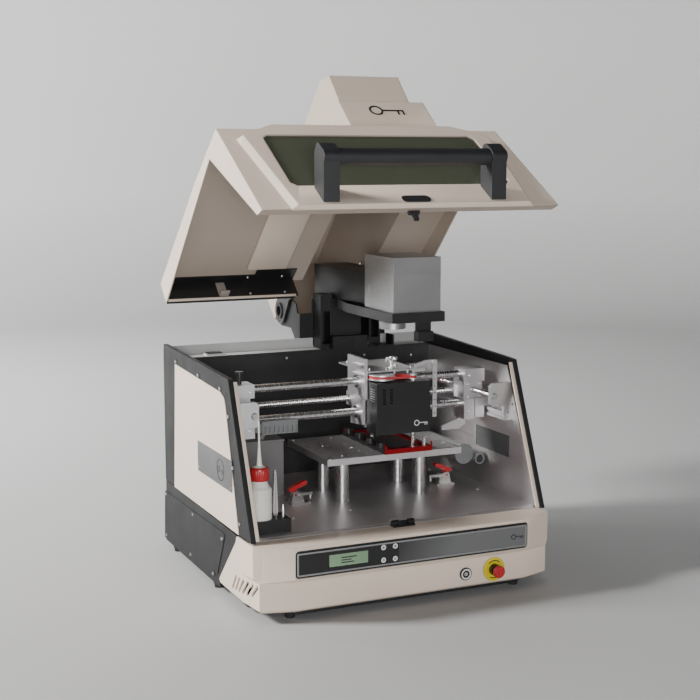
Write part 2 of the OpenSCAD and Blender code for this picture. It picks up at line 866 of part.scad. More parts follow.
module head_tray() {
    color("#1a1b1c") {
        difference() {
            plan([[64, 265], [216, 265], [216, 553], [192, 670], [88, 670], [64, 553]], 592, 618);
            plan([[67, 268], [213, 268], [213, 552], [189, 671], [91, 671], [67, 552]], 596, 619);
            z_cyl(lens_pos[0], lens_pos[1], [590, 600], 35.3);
        }
        block([167, 212], [334, 340], [560, 592]);
        block([167, 212], [320, 346], [534, 560]);
    }
}

module scanning_head() {
    color("#8e8f91") {
        difference() {
            block([72, 208], [275, 448], [596, head_top]);
            for (i = [0 : 12]) block([71, 73.5], [296, 424], [602 + i * 6, 605 + i * 6]);
        }
    }
    color("silver") difference() {
        z_cyl(lens_pos[0], lens_pos[1], [568, 596], 35);
        z_cyl(lens_pos[0], lens_pos[1], [560, 572], 28);
    }
}

// ---------------------------------------------------------------- hood, drawn closed

face_outline = [[-300, 0], [300, 0], [334, 308], [306, 327], [245, face_len],
    [-245, face_len], [-306, 327], [-334, 308]];
window_x = [-288, 288];
window_s = [79, 310];
low_bulge = concat([[166, 514], [182, 693], [204, 703]], arc([418, 681], 22, 90, 0, 6), [[440, 548]]);
low_bulge_inner = concat([[170, 480], [185.6, 690.4], [205, 699.4]], arc([418, 681], 18.5, 90, 0, 6),
    [[436.5, 480]]);
high_bulge = [[212, 560], [210, 700], [205, 822], [256, 859], [bulge_back, bulge_top],
    [bulge_back, 640], [756, 640], [756, 577], [430, 548]];
high_bulge_inner = [[214, 480], [213.5, 700], [208.6, 820], [257.4, 855.5],
    [bulge_back - hood_wall, bulge_top - hood_wall], [bulge_back - hood_wall, 630],
    [762, 630], [762, 480]];
hood_inner = [[41, 164.5], [119.6, 505.6], [322.2, 537.4], [752.5, 578], [752.5, 440],
    [200, 440], [130, 220], [75, 181]];

module hood_shell() {
    color("#d8cec4") hood_open() difference() {
        union() {
            side(hood_outline, -hood_half_w, hood_half_w);
            on_face() hull() {
                translate([0, 0, -2]) linear_extrude(0.1)
                    polygon([for (p = face_outline) [p[0] * 1.05, p[1]]]);
                translate([0, 0, face_rise - 0.1]) linear_extrude(0.1) polygon(face_outline);
            }
            side(low_bulge, 14, 264);
            side(high_bulge, 35, 243);
        }
        side(hood_inner, -hood_half_w + hood_wall, hood_half_w - hood_wall);
        on_face() translate([0, 0, -6]) linear_extrude(6 + face_rise - 3.5) polygon(
            [[-292, 10], [292, 10], [292, 318], [-292, 318]]);
        on_face() translate([0, 0, -6]) linear_extrude(8 + face_rise) polygon(
            cut_rect(window_x, window_s, 14));
        side(low_bulge_inner, 14 + hood_wall, 264 - hood_wall);
        side(high_bulge_inner, 35 + hood_wall, 243 - hood_wall);
        block(notch_x, [740, 760], [480, 576]);
    }
}

module hood_window() {
    color("#4b5a4a", 0.6) hood_open() on_face() translate([0, 0, face_rise - 7.5])
        linear_extrude(4) polygon(cut_rect([-291, 291], [72, 317], 14));
}

leaf_outline = concat([[748.5, 512], [748.5, 575], [758, 575], [770, 600], [800, 602]],
    arc([hinge_y, hinge_z], 38, 100, -100, 14), [[800, 540]]);

module hinge_leaf(x0, x1) {
    difference() {
        side(leaf_outline, x0, x1);
        x_cyl([x0 - over, x1 + over], hinge_y, hinge_z, 19.5);
    }
}

// A flange of a rear plate, lying along the inside of the hood roof
module roof_flange(x0, x1, front_y) {
    function under_roof(y) = 576.9 + (y - 750) * 0.0944;
    side([[750, 573.5], [750, 576.5], [front_y, under_roof(front_y)],
        [front_y, under_roof(front_y) - 3]], x0, x1);
}

module hood_hinge_plates() {
    color("#202122") hood_open() {
        front([[-381, 513], [4, 513], [4, 576], [-381, 576]], 748.5, 752);
        front([[276, 513], [381, 513], [381, 576], [276, 576]], 748.5, 752);
        roof_flange(-381, 4, 722);
        roof_flange(-118, 4, 700);
        roof_flange(276, 381, 722);
        hinge_leaf(-4, 4);
        hinge_leaf(276, 284);
    }
}

grab_bracket = concat([[8, face_rise], [53, 90]], arc([70, 95], 17, 180, 90, 5),
    arc([97, 97], 15, 90, 0, 5), [[112, 82], [71, face_rise]]);

module grab_handle() {
    color("#2c2d2f") hood_open() on_face() {
        for (x = [-237, 197]) translate([x, 0, 0]) rotate([90, 0, 90]) linear_extrude(40)
            polygon(grab_bracket);
        x_cyl([-205, 205], 77, 90, grab_d / 2);
    }
}

module latch_hook() {
    color("#161616") hood_open() {
        side([[54, 166.4], [64, 171], [64, 160], [54, 160]], -14, 14);
        side([[55, 161], [63, 161], [63, 140], [58, 140], [55, 150]], -6, 6);
        on_face() linear_extrude_pill();
    }
}
module linear_extrude_pill() {
    translate([0, 0, face_rise]) linear_extrude(1.5) polygon(round_rect([-37, 37], [3, 30], 12));
}

// ---------------------------------------------------------------- build

place() base_chassis();
place() rubber_feet();
place() front_fascia();
place() control_panel();
place() side_frames();
place() side_panels();
place() lower_side_covers();
place() chamber_liner();
place() back_wall();
place() rear_casing();
place() casing_screws();
place() button_bezels();
place() latch_striker();
place() table_plate();
place() table_posts();
place() key_fixture();
place() clamp_bases();
place() y_guides();
place() drive_motors();
place() power_supply();
place() column_frame();
place() hinge_bracket();
place() arm_box();
place() head_tray();
place() scanning_head();
place() suction_nozzle();
place() enclosure_box();
place() tool_rack();
place() estop_button();
place() power_button();
place() menu_button(menu_x[0], menu_z[1]);  // menu_button_1
place() menu_button(menu_x[1], menu_z[1]);  // menu_button_2
place() menu_button(menu_x[0], menu_z[0]);  // menu_button_3
place() menu_button(menu_x[1], menu_z[0]);  // menu_button_4
place() clamp_arm_left();
place() clamp_handle_left();
place() clamp_arm_right();
place() clamp_handle_right();
place() y_screw_left();
place() y_screw_right();
place() gantry_ends();
place() x_shafts();
place() cable_chain();
place() x_screw();
place() carriage_frame();
place() shaft_bearings();
place() lock_knob();
place() head_slide();
place() spindle_cover();
place() spindle_motor();
place() drive_belt();
place() motor_pulley();
place() spindle_shaft();
place() hood_shell();
place() hood_window();
place() hood_hinge_plates();
place() grab_handle();
place() latch_hook();
place() bottle();
place() tweezers();
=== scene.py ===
"""Looks of the key duplicating machine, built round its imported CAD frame."""
import json
import math

import bmesh
import bpy
from mathutils import Matrix, Vector


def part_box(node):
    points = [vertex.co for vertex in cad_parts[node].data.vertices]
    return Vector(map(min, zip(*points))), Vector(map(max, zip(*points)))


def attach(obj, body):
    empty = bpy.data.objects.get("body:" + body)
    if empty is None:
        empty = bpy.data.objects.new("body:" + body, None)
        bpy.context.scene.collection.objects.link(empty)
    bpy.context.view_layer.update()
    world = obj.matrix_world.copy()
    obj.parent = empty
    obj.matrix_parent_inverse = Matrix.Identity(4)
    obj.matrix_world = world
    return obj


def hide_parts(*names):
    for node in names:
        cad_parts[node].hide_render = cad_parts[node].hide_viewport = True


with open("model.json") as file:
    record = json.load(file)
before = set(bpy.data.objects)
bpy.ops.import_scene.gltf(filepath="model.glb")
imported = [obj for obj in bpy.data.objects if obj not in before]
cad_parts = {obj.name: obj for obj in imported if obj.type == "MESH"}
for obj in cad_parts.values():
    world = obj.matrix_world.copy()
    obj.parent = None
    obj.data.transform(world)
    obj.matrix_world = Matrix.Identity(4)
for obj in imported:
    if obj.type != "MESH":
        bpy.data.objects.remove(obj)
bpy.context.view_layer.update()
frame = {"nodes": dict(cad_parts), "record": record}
MM = 0.001
SLOT_OF = {row["node"]: row["material_slot"] for row in frame["record"]["subparts"]}
BODY_OF = {n: body for body, nodes in frame["record"]["behaviour"]["bodies"].items() for n in nodes}

# ------------------------------------------------------------------ materials


class Graph:
    """A small helper that builds a procedural material node by node."""

    def __init__(self, name):
        self.material = bpy.data.materials.new(name)
        self.material.use_nodes = True
        self.nodes = self.material.node_tree.nodes
        self.links = self.material.node_tree.links
        self.shader = self.nodes["Principled BSDF"]
        self.coord = self.nodes.new("ShaderNodeTexCoord").outputs["Object"]

    def link(self, source, target):
        self.links.new(source, target)

    def stretched(self, scale):
        """Object coordinates scaled by a different amount on each axis."""
        node = self.nodes.new("ShaderNodeMapping")
        node.inputs["Scale"].default_value = scale
        self.link(self.coord, node.inputs["Vector"])
        return node.outputs["Vector"]

    def noise(self, scale, detail=4.0, rough=0.55, vector=None):
        node = self.nodes.new("ShaderNodeTexNoise")
        node.inputs["Scale"].default_value = scale
        node.inputs["Detail"].default_value = detail
        node.inputs["Roughness"].default_value = rough
        self.link(vector or self.coord, node.inputs["Vector"])
        return node.outputs["Fac"]

    def ramp(self, value, low, high, out_low=0.0, out_high=1.0):
        node = self.nodes.new("ShaderNodeMapRange")
        node.inputs["From Min"].default_value = low
        node.inputs["From Max"].default_value = high
        node.inputs["To Min"].default_value = out_low
        node.inputs["To Max"].default_value = out_high
        self.link(value, node.inputs["Value"])
        return node.outputs["Result"]

    def mix(self, fac, a, b):
        """Mixes two colours; each is a colour tuple or a socket."""
        node = self.nodes.new("ShaderNodeMix")
        node.data_type = "RGBA"
        self.link(fac, node.inputs["Factor"])
        for key, value in (("A", a), ("B", b)):
            socket = [s for s in node.inputs if s.name == key and s.type == "RGBA"][0]
            if isinstance(value, tuple):
                socket.default_value = (*value, 1)
            else:
                self.link(value, socket)
        return [s for s in node.outputs if s.type == "RGBA"][0]

    def math(self, operation, a, b):
        node = self.nodes.new("ShaderNodeMath")
        node.operation = operation
        for socket, value in zip(node.inputs, (a, b)):
            if isinstance(value, (int, float)):
                socket.default_value = value
            else:
                self.link(value, socket)
        return node.outputs["Value"]

    def bump(self, height, distance, strength=1.0, normal=None):
        node = self.nodes.new("ShaderNodeBump")
        if normal:
            self.link(normal, node.inputs["Normal"])
        node.inputs["Strength"].default_value = strength
        node.inputs["Distance"].default_value = distance
        self.link(height, node.inputs["Height"])
        self.link(node.outputs["Normal"], self.shader.inputs["Normal"])

    def bevel(self, radius):
        """Normals that turn smoothly over every sharp edge."""
        node = self.nodes.new("ShaderNodeBevel")
        node.samples = 4
        node.inputs["Radius"].default_value = radius
        return node.outputs["Normal"]

    def edges(self, radius=0.0015):
        """A mask that is 1 right at the edges, found from how far the softened normal leans."""
        lean = self.nodes.new("ShaderNodeVectorMath")
        lean.operation = "DOT_PRODUCT"
        self.link(self.bevel(radius), lean.inputs[0])
        self.link(self.nodes.new("ShaderNodeNewGeometry").outputs["Normal"], lean.inputs[1])
        return self.ramp(lean.outputs["Value"], 0.985, 0.90)

    def axis(self, name):
        """One of the object coordinates, in metres."""
        node = self.nodes.new("ShaderNodeSeparateXYZ")
        self.link(self.coord, node.inputs["Vector"])
        return node.outputs[name]

    def set(self, **values):
        for name, value in values.items():
            self.shader.inputs[name.replace("_", " ")].default_value = value

    def colour(self, socket):
        self.link(socket, self.shader.inputs["Base Color"])

    def roughness(self, socket):
        self.link(socket, self.shader.inputs["Roughness"])


def shade(colour, factor):
    return tuple(min(1.0, c * factor) for c in colour)


def coated(name, colour, rough=0.45, grain=900.0, depth=0.00006, wear=None, soft=0.0, shine=0.5):
    """Fine textured paint or powder coat, slightly uneven, rubbed along its edges."""
    g = Graph(name)
    g.set(Specular_IOR_Level=shine)
    patch = g.ramp(g.noise(3.0, 3), 0.35, 0.65)
    base = g.mix(patch, shade(colour, 0.975), shade(colour, 1.02))
    speck = g.ramp(g.noise(grain * 0.8, 2), 0.60, 0.72, 0.0, 0.25)
    base = g.mix(speck, base, shade(colour, 0.86))
    if wear:
        rubbed = g.math("MULTIPLY", g.edges(), g.ramp(g.noise(60, 5), 0.40, 0.7, 0.0, 0.5))
        base = g.mix(rubbed, base, wear)
    g.colour(base)
    g.roughness(g.ramp(g.noise(9.0, 6, 0.6), 0.3, 0.7, rough - 0.06, rough + 0.07))
    g.bump(g.noise(grain, 3, 0.6), depth, 0.6, g.bevel(soft) if soft else None)
    return g.material


def moulded(name, colour, rough=0.42, grain=1400.0, depth=0.00004):
    """Moulded plastic with a fine spark-eroded grain."""
    g = Graph(name)
    patch = g.ramp(g.noise(12.0, 4), 0.3, 0.7)
    g.colour(g.mix(patch, shade(colour, 0.93), shade(colour, 1.06)))
    g.roughness(g.ramp(g.noise(25.0, 6), 0.3, 0.7, rough - 0.07, rough + 0.08))
    g.bump(g.noise(grain, 2), depth, 0.5)
    return g.material


def metal(name, colour, rough=0.3, brush=None, depth=0.00003, tarnish=0.12):
    """Bare metal: brushed along an axis, or blasted when no brush direction is given."""
    g = Graph(name)
    g.set(Metallic=1.0)
    vector = g.stretched(brush) if brush else None
    scale = 1.0 if brush else 1200.0
    fine = g.noise(scale, 6, 0.65, vector)
    cloud = g.ramp(g.noise(6.0, 5, 0.6), 0.3, 0.7)
    base = g.mix(cloud, shade(colour, 1.0 - tarnish), colour)
    streak = g.ramp(fine, 0.35, 0.65, 0.0, 0.35)
    base = g.mix(streak, base, shade(colour, 0.82))
    g.colour(base)
    g.roughness(g.math("ADD", g.ramp(fine, 0.3, 0.7, rough - 0.05, rough + 0.09),
                       g.ramp(cloud, 0.0, 1.0, 0.0, 0.05)))
    g.bump(fine, depth, 0.5)
    return g.material


BEIGE = (0.700, 0.585, 0.485)
MATERIALS = {
    "beige_shell": coated("beige_shell", BEIGE, 0.40, soft=0.005),
    "beige_panel": coated("beige_panel", BEIGE, 0.40),
    "dark_sheet": coated("dark_sheet", (0.016, 0.0165, 0.0175), 0.50, wear=(0.06, 0.06, 0.06), shine=0.26),
    "black_sheet": coated("black_sheet", (0.010, 0.010, 0.011), 0.40, wear=(0.06, 0.06, 0.06)),
    "stainless": metal("stainless", (0.71, 0.68, 0.68), 0.44, (3.0, 3.0, 700.0)),
    "milled": metal("milled", (0.80, 0.78, 0.79), 0.42, (500.0, 6.0, 6.0)),
    "ledge": coated("ledge", (0.44, 0.44, 0.44), 0.40),
    "duct_grey": moulded("duct_grey", (0.17, 0.175, 0.18), 0.42),
    "grey_sheet": coated("grey_sheet", (0.20, 0.20, 0.205), 0.42, wear=(0.4, 0.4, 0.4)),
    "machined": metal("machined", (0.78, 0.77, 0.78), 0.38),
    "ground_steel": metal("ground_steel", (0.80, 0.79, 0.80), 0.22, (300.0, 14.0, 14.0), 0.0000015, 0.05),
    "screw_steel": metal("screw_steel", (0.66, 0.65, 0.64), 0.24),
    "black_plastic": moulded("black_plastic", (0.010, 0.010, 0.011), 0.36),
    "panel_plastic": moulded("panel_plastic", (0.012, 0.013, 0.014), 0.30, 900.0, 0.00002),
    "red_plastic": moulded("red_plastic", (0.42, 0.016, 0.020), 0.30, 700.0, 0.00002),
    "red_anodised": metal("red_anodised", (0.50, 0.022, 0.030), 0.26),
    "belt_rubber": moulded("belt_rubber", (0.42, 0.02, 0.026), 0.5),
    "foot_rubber": moulded("foot_rubber", (0.010, 0.010, 0.010), 0.75),
    "head_metal": metal("head_metal", (0.42, 0.42, 0.425), 0.36, (4.0, 4.0, 600.0)),
    "grip": moulded("grip", (0.020, 0.021, 0.023), 0.50, 1100.0, 0.00008),
    "bottle_plastic": moulded("bottle_plastic", (0.80, 0.78, 0.73), 0.35),
    "white_print": moulded("white_print", (0.72, 0.72, 0.70), 0.40),
    "black_print": moulded("black_print", (0.014, 0.013, 0.013), 0.40),
    "silver_trim": metal("silver_trim", (0.45, 0.45, 0.46), 0.34),
    "yellow_plastic": moulded("yellow_plastic", (0.62, 0.50, 0.012), 0.38),
    "display": moulded("display", (0.20, 0.31, 0.19), 0.20, 900.0, 0.00001),
    "box_grey": coated("box_grey", (0.16, 0.155, 0.155), 0.40),
    "plate_grey": coated("plate_grey", (0.085, 0.085, 0.088), 0.38),
    # painted shade: a darker copy of the beige, used for the bracket inside the hood
    "beige_painted_shade": coated("beige_painted_shade", (0.30, 0.262, 0.235), 0.5),
    # painted shade: a darker copy of the beige, for the faces inside the hood
    "shell_painted_shade": coated("shell_painted_shade", shade(BEIGE, 0.60), 0.55),
}


def smoked_glass():
    g = Graph("window")
    tint = g.ramp(g.noise(4.0, 3), 0.3, 0.7)
    g.colour(g.mix(tint, (0.082, 0.090, 0.062), (0.090, 0.098, 0.068)))
    g.set(Roughness=0.07, IOR=1.45, Alpha=0.86)
    g.bump(g.noise(30.0, 2), 0.00002, 0.3)
    return g.material


def faded_film():
    """The panel's front film: black at its left end, fading to grey on the right."""
    g = Graph("panel_film")
    fade = g.ramp(g.math("ADD", g.axis("X"), g.math("MULTIPLY", g.axis("Z"), -0.6)), -0.17, 0.02)
    speck = g.ramp(g.noise(700.0, 2), 0.4, 0.7, 0.0, 0.2)
    grey = g.mix(speck, (0.125, 0.127, 0.130), (0.150, 0.152, 0.155))
    g.colour(g.mix(fade, (0.012, 0.012, 0.013), grey))
    g.roughness(g.ramp(g.noise(15.0, 4), 0.3, 0.7, 0.28, 0.31))
    return g.material


MATERIALS["window"] = smoked_glass()
MATERIALS["panel_film"] = faded_film()


def dress(piece, slot):
    piece.data.materials.clear()
    piece.data.materials.append(MATERIALS[slot])
    return piece


# ------------------------------------------------------------------ refined CAD pieces


def smooth_by_angle(mesh, degrees=32.0):
    mesh.polygons.foreach_set("use_smooth", [True] * len(mesh.polygons))
    mesh.set_sharp_from_angle(angle=math.radians(degrees))


def new_piece(name, mesh):
    piece = bpy.data.objects.new(name, mesh)
    bpy.context.scene.collection.objects.link(piece)
    return piece


def add_bevel(piece, width_mm):
    bevel = piece.modifiers.new("round", "BEVEL")
    bevel.width = width_mm * MM
    bevel.segments = 2
    bevel.limit_method = "ANGLE"
    return bevel


def apply_modifiers(piece):
    depsgraph = bpy.context.evaluated_depsgraph_get()
    piece.data = bpy.data.meshes.new_from_object(piece.evaluated_get(depsgraph))
    piece.modifiers.clear()


def refine(node, width_mm, slot):
    """Replaces a CAD node by the same shape with its sharp edges rounded."""
    mesh = frame["nodes"][node].data.copy()
    piece = new_piece(node + "_finished", mesh)
    bm = bmesh.new()
    bm.from_mesh(mesh)
    bmesh.ops.remove_doubles(bm, verts=bm.verts, dist=WELD_GAP)
    if node not in KEEP_TRIANGLES:
        bmesh.ops.dissolve_limit(bm, angle_limit=FLAT_ANGLE, verts=bm.verts, edges=bm.edges)
    bm.to_mesh(mesh)
    bm.free()
    bevel = add_bevel(piece, width_mm)
    bevel.angle_limit = SHARP_ANGLE
    bevel.miter_outer = "MITER_ARC"
    apply_modifiers(piece)
    smooth_by_angle(piece.data)
    piece.modifiers.new("flatten", "WEIGHTED_NORMAL").keep_sharp = True
    apply_modifiers(piece)
    dress(piece, slot)
    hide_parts(node)
    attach(piece, BODY_OF[node])
    return piece


WELD_GAP = 2e-6
FLAT_ANGLE = math.radians(0.6)
SHARP_ANGLE = math.radians(35)
# Nodes whose flat faces have holes or notches, where merging their triangles could cover an opening
KEEP_TRIANGLES = {"hood_shell", "spindle_cover", "front_fascia", "table_plate", "scanning_head",
                  "rear_casing", "base_chassis", "power_supply", "arm_box", "grab_handle"}
# Width of the rounded edges of each node, in mm; DEFAULT_EDGE_MM for the rest
DEFAULT_EDGE_MM = 0.3
EDGE_MM = {
    "front_fascia": 2.0, "hood_shell": 1.4, "side_panels": 0.8, "side_frames": 1.0,
    "lower_side_covers": 1.0, "control_panel": 0.5, "grab_handle": 4.0, "scanning_head": 1.5,
    "arm_box": 1.5, "head_tray": 0.8, "column_frame": 1.0, "spindle_cover": 0.6, "table_plate": 0.7,
    "enclosure_box": 1.0, "tool_rack": 1.0, "carriage_frame": 0.8, "gantry_ends": 1.0,
    "y_guides": 0.8, "estop_button": 1.5, "hood_hinge_plates": 0.8, "hinge_bracket": 0.8,
    "clamp_bases": 0.6, "key_fixture": 0.7, "button_bezels": 0.6, "latch_striker": 0.8,
    "base_chassis": 0.4, "rear_casing": 0.5, "chamber_liner": 0.5, "suction_nozzle": 0.8,
    "back_wall": 0.5, "spindle_motor": 1.0, "table_posts": 0.8, "power_supply": 0.4,
    "drive_motors": 0.8, "rubber_feet": 1.0, "cable_chain": 0.4, "lock_knob": 0.5,
    "latch_hook": 0.6, "head_slide": 0.6, "clamp_handle_left": 1.2, "clamp_handle_right": 1.2,
    "clamp_arm_left": 0.5, "clamp_arm_right": 0.5,
}
OTHER_SLOT = {"latch_hook": "grip"}
# Nodes that keep their slot and take another material of this script
OTHER_LOOK = {"rear_casing": "ledge", "table_plate": "milled", "suction_nozzle": "duct_grey",
              "enclosure_box": "box_grey", "cable_chain": "duct_grey"}
LEAD_SCREWS = {"x_screw": 0, "y_screw_left": 1, "y_screw_right": 1}
finished = {}
for cad_node in frame["nodes"]:
    if cad_node == "hood_window":
        dress(frame["nodes"][cad_node], "window")
    elif cad_node not in LEAD_SCREWS:
        finished[cad_node] = refine(cad_node, EDGE_MM.get(cad_node, DEFAULT_EDGE_MM),
                                    OTHER_SLOT.get(cad_node, SLOT_OF[cad_node]))
        if cad_node in OTHER_LOOK:
            dress(finished[cad_node], OTHER_LOOK[cad_node])

# ------------------------------------------------------------------ shapes for added pieces

# The drawing frame: zero lies at the middle of the fascia's front, 62 mm above the floor.
ORIGIN = Vector((0.0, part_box("front_fascia")[0].y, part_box("rubber_feet")[0].z + 62 * MM))
HOOD_JOINT = [j for j in frame["record"]["behaviour"]["joints"] if j["name"] == "hood_hinge"][0]
HINGE = Vector(HOOD_JOINT["pos_m"])
HOOD_TURN = Matrix.Rotation(-math.radians(HOOD_JOINT["range_deg"][1]), 3, "X")


def placed(x, y, z):
    return ORIGIN + Vector((x, y, z)) * MM


def on_hood(x, y, z):
    """A point of the hood, given as it lies when the hood is shut."""
    return HINGE + HOOD_TURN @ (placed(x, y, z) - HINGE)


def facing_front(u, v, t):
    return placed(u, t, v)


def facing_side(u, v, t):
    return placed(t, u, v)


def facing_up(u, v, t):
    return placed(u, v, t)


def hood_front(u, v, t):
    return on_hood(u, t, v)


def hood_side(u, v, t):
    return on_hood(t, u, v)


def rounded(u0, u1, v0, v1, r, steps=5):
    """Outline of a rectangle with round corners, anticlockwise."""
    points = []
    for cu, cv, start in ((u1 - r, v1 - r, 0), (u0 + r, v1 - r, 90), (u0 + r, v0 + r, 180),
                          (u1 - r, v0 + r, 270)):
        for i in range(steps + 1):
            a = math.radians(start + 90 * i / steps)
            points.append((cu + r * math.cos(a), cv + r * math.sin(a)))
    return points


def paint(node, looks, chooser):
    """Gives the faces of a finished node other materials: chooser says which, 0 for the node's own."""
    piece = finished[node]
    for look in looks:
        piece.data.materials.append(MATERIALS[look])
    for face in piece.data.polygons:
        face.material_index = chooser(face)


def fixture_face(face):
    """The fixture's clamps are black, its pins bright and the bottom of its pocket dark."""
    x, y, z = (face.center - ORIGIN) / MM
    red_foot = 58 < x < 68 and (y < 303 or y > 564)
    if x < 74.5 and z > 257.5 and not red_foot:
        return 1
    if z > 252.3 and any(math.hypot(x - a, y - b) < 5.6 for a, b in ((171, 354), (186, 319), (120, 500))):
        return 2
    in_pocket = 75.5 < x < 185.5 and 320.5 < y < 547.5 and z < 253
    return 3 if in_pocket else 0


def gantry_face(face):
    """The knob on the left end of the gantry is dark."""
    x, y, z = (face.center - ORIGIN) / MM
    return 1 if x < -310 and z > 456.3 else 0


def hood_face(face):
    """The faces inside the hood get a darker copy of the beige: painted shade for the hood's unlit inside."""
    middle = on_hood(0, 500, 300)
    return 1 if (middle - face.center).dot(face.normal) > 0 else 0


paint("key_fixture", ("black_plastic", "screw_steel", "black_sheet"), fixture_face)
paint("gantry_ends", ("black_plastic",), gantry_face)
# the inside of the hood takes the darker copy of the beige as painted shade
paint("hood_shell", ("shell_painted_shade",), hood_face)


class Shape:
    """Collects solids in one mesh; every solid is closed."""

    def __init__(self, view):
        self.view = view
        self.bm = bmesh.new()

    def _loop(self, points, t):
        return [self.bm.verts.new(self.view(u, v, t)) for u, v in points]

    def prism(self, points, t0, t1):
        low, high = self._loop(points, t0), self._loop(points, t1)
        self.bm.faces.new(low)
        self.bm.faces.new(high)
        self._wall(low, high)
        return self

    def _wall(self, a, b):
        for i in range(len(a)):
            j = (i + 1) % len(a)
            self.bm.faces.new((a[i], a[j], b[j], b[i]))

    def rim(self, outer, inner, t0, t1):
        """A flat frame between two outlines with the same number of points."""
        loops = [self._loop(outer, t0), self._loop(outer, t1), self._loop(inner, t1),
                 self._loop(inner, t0)]
        for i in range(4):
            self._wall(loops[i], loops[(i + 1) % 4])
        return self

    def lathe(self, centre, profile, steps=40):
        """Turns an open profile [(radius, t)]; both ends close on the axis or on each other."""
        cu, cv = centre
        loops = []
        for r, t in profile:
            if r == 0:
                loops.append([self.bm.verts.new(self.view(cu, cv, t))])
            else:
                loops.append(self._loop([(cu + r * math.cos(2 * math.pi * i / steps),
                                          cv + r * math.sin(2 * math.pi * i / steps))
                                         for i in range(steps)], t))
        pairs = list(zip(loops, loops[1:]))
        if profile[0][0] and profile[-1][0]:
            pairs.append((loops[-1], loops[0]))
        for a, b in pairs:
            if len(a) == 1 or len(b) == 1:
                tip, ring = (a[0], b) if len(a) == 1 else (b[0], a)
                for i in range(steps):
                    self.bm.faces.new((tip, ring[i], ring[(i + 1) % steps]))
            else:
                self._wall(a, b)
        return self

    def ring(self, centre, r0, r1, t0, t1):
        return self.lathe(centre, [(r0, t0), (r1, t0), (r1, t1), (r0, t1)])

    def disc(self, centre, r, t0, t1):
        return self.lathe(centre, [(0, t0), (r, t0), (r, t1), (0, t1)])

    def screw(self, centre, t, r, out):
        """A domed cap screw with a socket; out is +1 or -1 along t."""
        return self.lathe(centre, [(0, t - out * 0.3 * r), (r, t - out * 0.3 * r), (r, t + out * 0.25 * r),
                                   (0.8 * r, t + out * 0.5 * r), (0.45 * r, t + out * 0.55 * r),
                                   (0.42 * r, t + out * 0.1 * r), (0, t + out * 0.1 * r)], 20)

    def key_mark(self, centre, size, t0, t1, flip=1):
        """A plain key: a ring for the bow, a shaft and two teeth."""
        cu, cv = centre
        bow, line = 0.20 * size, 0.055 * size
        start = cu - flip * (0.5 * size - bow)
        self.ring((start, cv), bow - line, bow, t0, t1)
        near, far = start + flip * (bow - 0.3 * line), cu + flip * 0.5 * size
        self.prism(self._bar(near, far, cv - line / 2, cv + line / 2), t0, t1)
        for at in (far - flip * line * 0.5, far - flip * line * 3.2):
            self.prism(self._bar(at - line / 2, at + line / 2, cv - 0.17 * size, cv), t0, t1)
        return self

    @staticmethod
    def _bar(u0, u1, v0, v1):
        return [(u0, v0), (u1, v0), (u1, v1), (u0, v1)]

    def bar(self, u0, u1, v0, v1, t0, t1):
        return self.prism(self._bar(u0, u1, v0, v1), t0, t1)

    def finish(self, name, slot, body, material=None, bevel_mm=0.0):
        bmesh.ops.recalc_face_normals(self.bm, faces=self.bm.faces)
        mesh = bpy.data.meshes.new(name)
        self.bm.to_mesh(mesh)
        self.bm.free()
        piece = new_piece(name, mesh)
        if bevel_mm:
            add_bevel(piece, bevel_mm)
            apply_modifiers(piece)
        smooth_by_angle(piece.data)
        dress(piece, material or slot)
        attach(piece, body)


def lead_screw(node, axis):
    """A threaded rod round the CAD node's axis, with a plain end where it enters its bearings."""
    low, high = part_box(node)
    across = [i for i in range(3) if i != axis]
    middle = (low + high) / 2
    radius, depth, chamfer, plain_end, pitch = 8 * MM, 0.9 * MM, 0.6 * MM, 6 * MM, 5 * MM
    per_turn, steps = 6, 30
    cut = (0.0, 0.0, 0.5, 1.0, 1.0, 0.5)
    start, end = low[axis] + plain_end, high[axis] - plain_end
    count = int((end - start - pitch) / pitch) * per_turn
    bm = bmesh.new()

    def ring(position, r, lean=0.0):
        loop = []
        for k in range(steps):
            a = 2 * math.pi * k / steps
            p = Vector((0, 0, 0))
            p[axis] = position + lean * k / steps
            p[across[0]] = middle[across[0]] + r * math.cos(a)
            p[across[1]] = middle[across[1]] + r * math.sin(a)
            loop.append(bm.verts.new(p))
        return loop

    def wall(a, b):
        for k in range(steps):
            n = (k + 1) % steps
            bm.faces.new((a[k], a[n], b[n], b[k]))

    rows = [ring(start + i * pitch / per_turn, radius - depth * cut[i % per_turn], pitch)
            for i in range(count)]
    for i in range(count - 1 - per_turn):
        for k in range(steps - 1):
            bm.faces.new((rows[i][k], rows[i][k + 1], rows[i + 1][k + 1], rows[i + 1][k]))
        bm.faces.new((rows[i][steps - 1], rows[i + per_turn][0], rows[i + 1 + per_turn][0],
                      rows[i + 1][steps - 1]))
    core = radius - depth
    loops = [ring(low[axis], core - chamfer), ring(low[axis] + chamfer, core),
             ring(high[axis] - chamfer, core), ring(high[axis], core - chamfer)]
    for a, b in zip(loops, loops[1:]):
        wall(a, b)
    bm.faces.new(loops[0])
    bm.faces.new(loops[-1])
    bmesh.ops.recalc_face_normals(bm, faces=bm.faces)
    mesh = bpy.data.meshes.new(node + "_thread")
    bm.to_mesh(mesh)
    bm.free()
    piece = new_piece(node + "_thread", mesh)
    smooth_by_angle(mesh)
    dress(piece, SLOT_OF[node])
    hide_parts(node)
    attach(piece, BODY_OF[node])


for screw_node, along in LEAD_SCREWS.items():
    lead_screw(screw_node, along)

# ------------------------------------------------------------------ added pieces, sizes in mm


def corner_mm(node, which):
    """A node's low (0) or high (1) corner in the drawing frame."""
    return (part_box(node)[which] - ORIGIN) / MM


def add_screws(name, body, view, places, t, r, out):
    screws = Shape(view)
    for place in places:
        screws.screw(place, t, r, out)
    screws.finish(name, "screw_steel", body)


